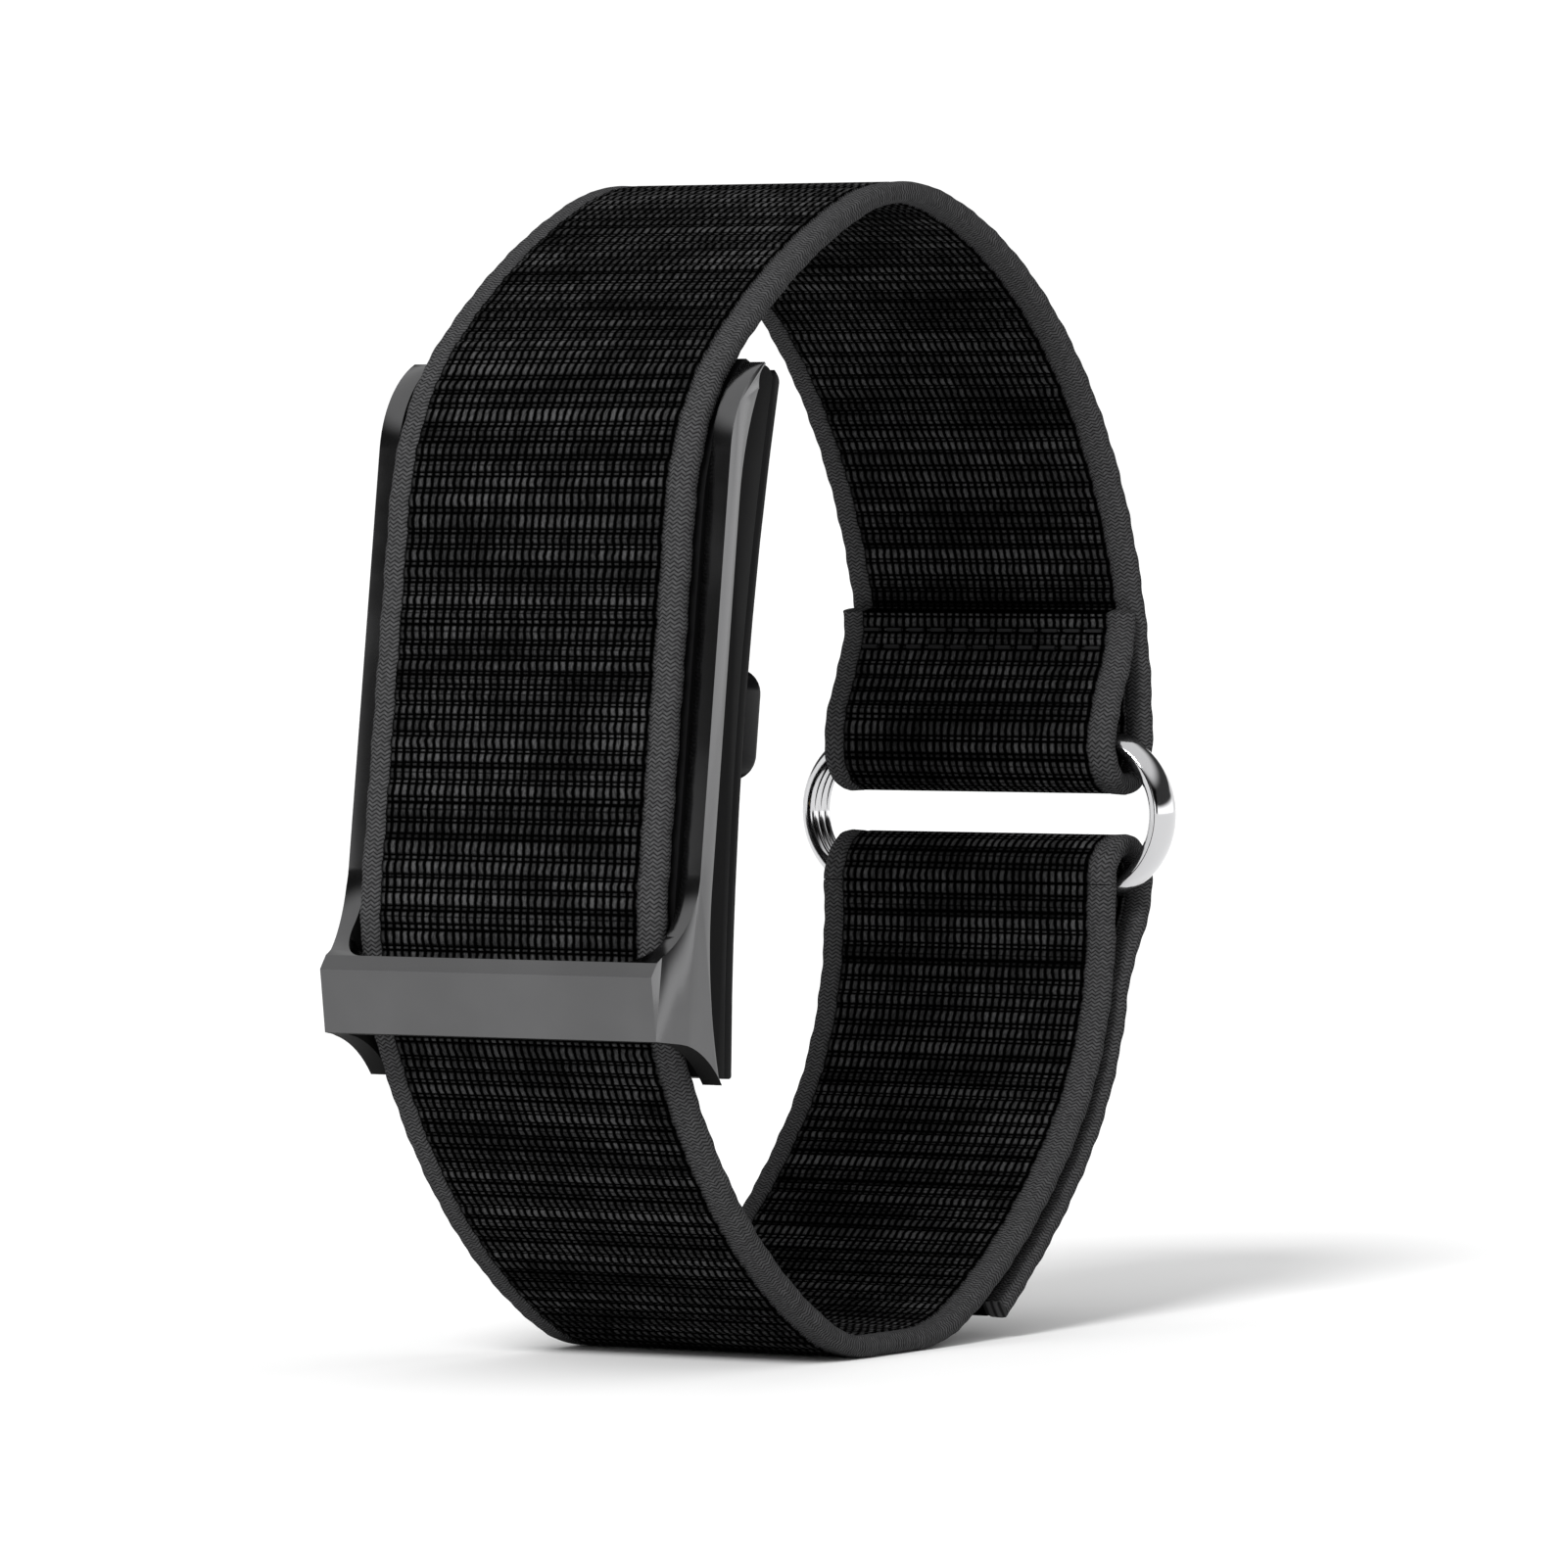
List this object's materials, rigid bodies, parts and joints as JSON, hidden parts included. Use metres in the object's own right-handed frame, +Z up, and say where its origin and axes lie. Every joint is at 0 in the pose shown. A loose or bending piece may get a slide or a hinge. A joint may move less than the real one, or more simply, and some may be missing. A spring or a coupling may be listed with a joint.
{
  "type": "fitness tracker band",
  "caption": "Screenless fitness tracker: woven strap loop with a metal clasp frame, a slim sensor pod behind it and a steel ring closure",
  "frame": {"origin": "middle of the small flat under the closed loop, on which it rests, midway across the strap", "axes": "+Z up, +X across the strap, -Y towards the sensor pod and its clasp, +Y towards the ring"},
  "size_m": [0.0278, 0.0676, 0.075],
  "materials": {
    "woven_strap": "matte, ribbed weave with a fine twill edge",
    "hook_tape": "matte",
    "thread": "matte",
    "clasp_metal": "polished dark coating on steel",
    "ring_steel": "polished",
    "pod_shell": "satin",
    "window_plastic": "satin, dark, lets light through",
    "spring_steel": "satin",
    "seal_rubber": "matte",
    "circuit_board": "solder mask",
    "chip": "moulded",
    "tin_plate": "satin",
    "cell_foil": "satin",
    "gold_plate": "polished",
    "led_resin": "clear",
    "copper_film": "film"
  },
  "bodies": {
    "band": {"strap_band": "woven_strap", "upper_fold_flap": "woven_strap", "lower_fold": "woven_strap", "flap_stitches": "thread", "front_cover": "pod_shell", "mid_frame": "pod_shell", "back_cover": "pod_shell", "sensor_window": "window_plastic", "bar_tube": "spring_steel", "bar_spring": "spring_steel", "catch_spring_left": "spring_steel", "catch_spring_right": "spring_steel", "board_screws": "spring_steel", "back_gasket": "seal_rubber", "battery_foam": "seal_rubber", "motor_pad": "seal_rubber", "light_barrier": "seal_rubber", "main_board": "circuit_board", "sensor_board": "circuit_board", "processor_chip": "chip", "motion_sensor": "chip", "photodiodes": "chip", "antenna": "chip", "shield_can": "tin_plate", "vibration_motor": "tin_plate", "battery_cell": "cell_foil", "charging_contacts": "gold_plate", "green_leds": "led_resin", "red_led": "led_resin", "infrared_led": "led_resin", "flex_ribbon": "copper_film"},
    "clasp": {"clasp_frame": "clasp_metal"},
    "ring": {"ring": "ring_steel"},
    "tail": {"strap_tail": "woven_strap", "hook_patch": "hook_tape", "tail_stitches": "thread"},
    "tip_left": {"bar_tip_left": "spring_steel"},
    "tip_right": {"bar_tip_right": "spring_steel"}
  },
  "joints": [
    {"name": "clasp_hinge", "type": "hinge", "parent": "band", "child": "clasp", "pos_m": [0, -0.01977, 0.0618], "axis": [-1, 0, 0], "range_deg": [0, 75], "deforming": ["catch_spring_left", "catch_spring_right"]},
    {"name": "ring_slide", "type": "slide", "parent": "band", "child": "ring", "axis": [1, 0, 0], "range_m": [-0.0003, 0.0003]},
    {"name": "tail_peel", "type": "hinge", "parent": "band", "child": "tail", "pos_m": [0, 0.0348, 0.02911], "axis": [1, 0, 0], "range_deg": [0, 35]},
    {"name": "tip_left_slide", "type": "slide", "parent": "band", "child": "tip_left", "axis": [1, 0, 0], "range_m": [0, 0.00085], "stiffness_N_per_m": 400, "deforming": ["bar_spring"]},
    {"name": "tip_right_slide", "type": "slide", "parent": "band", "child": "tip_right", "axis": [-1, 0, 0], "range_m": [0, 0.00085], "stiffness_N_per_m": 400, "deforming": ["bar_spring"]}
  ]
}
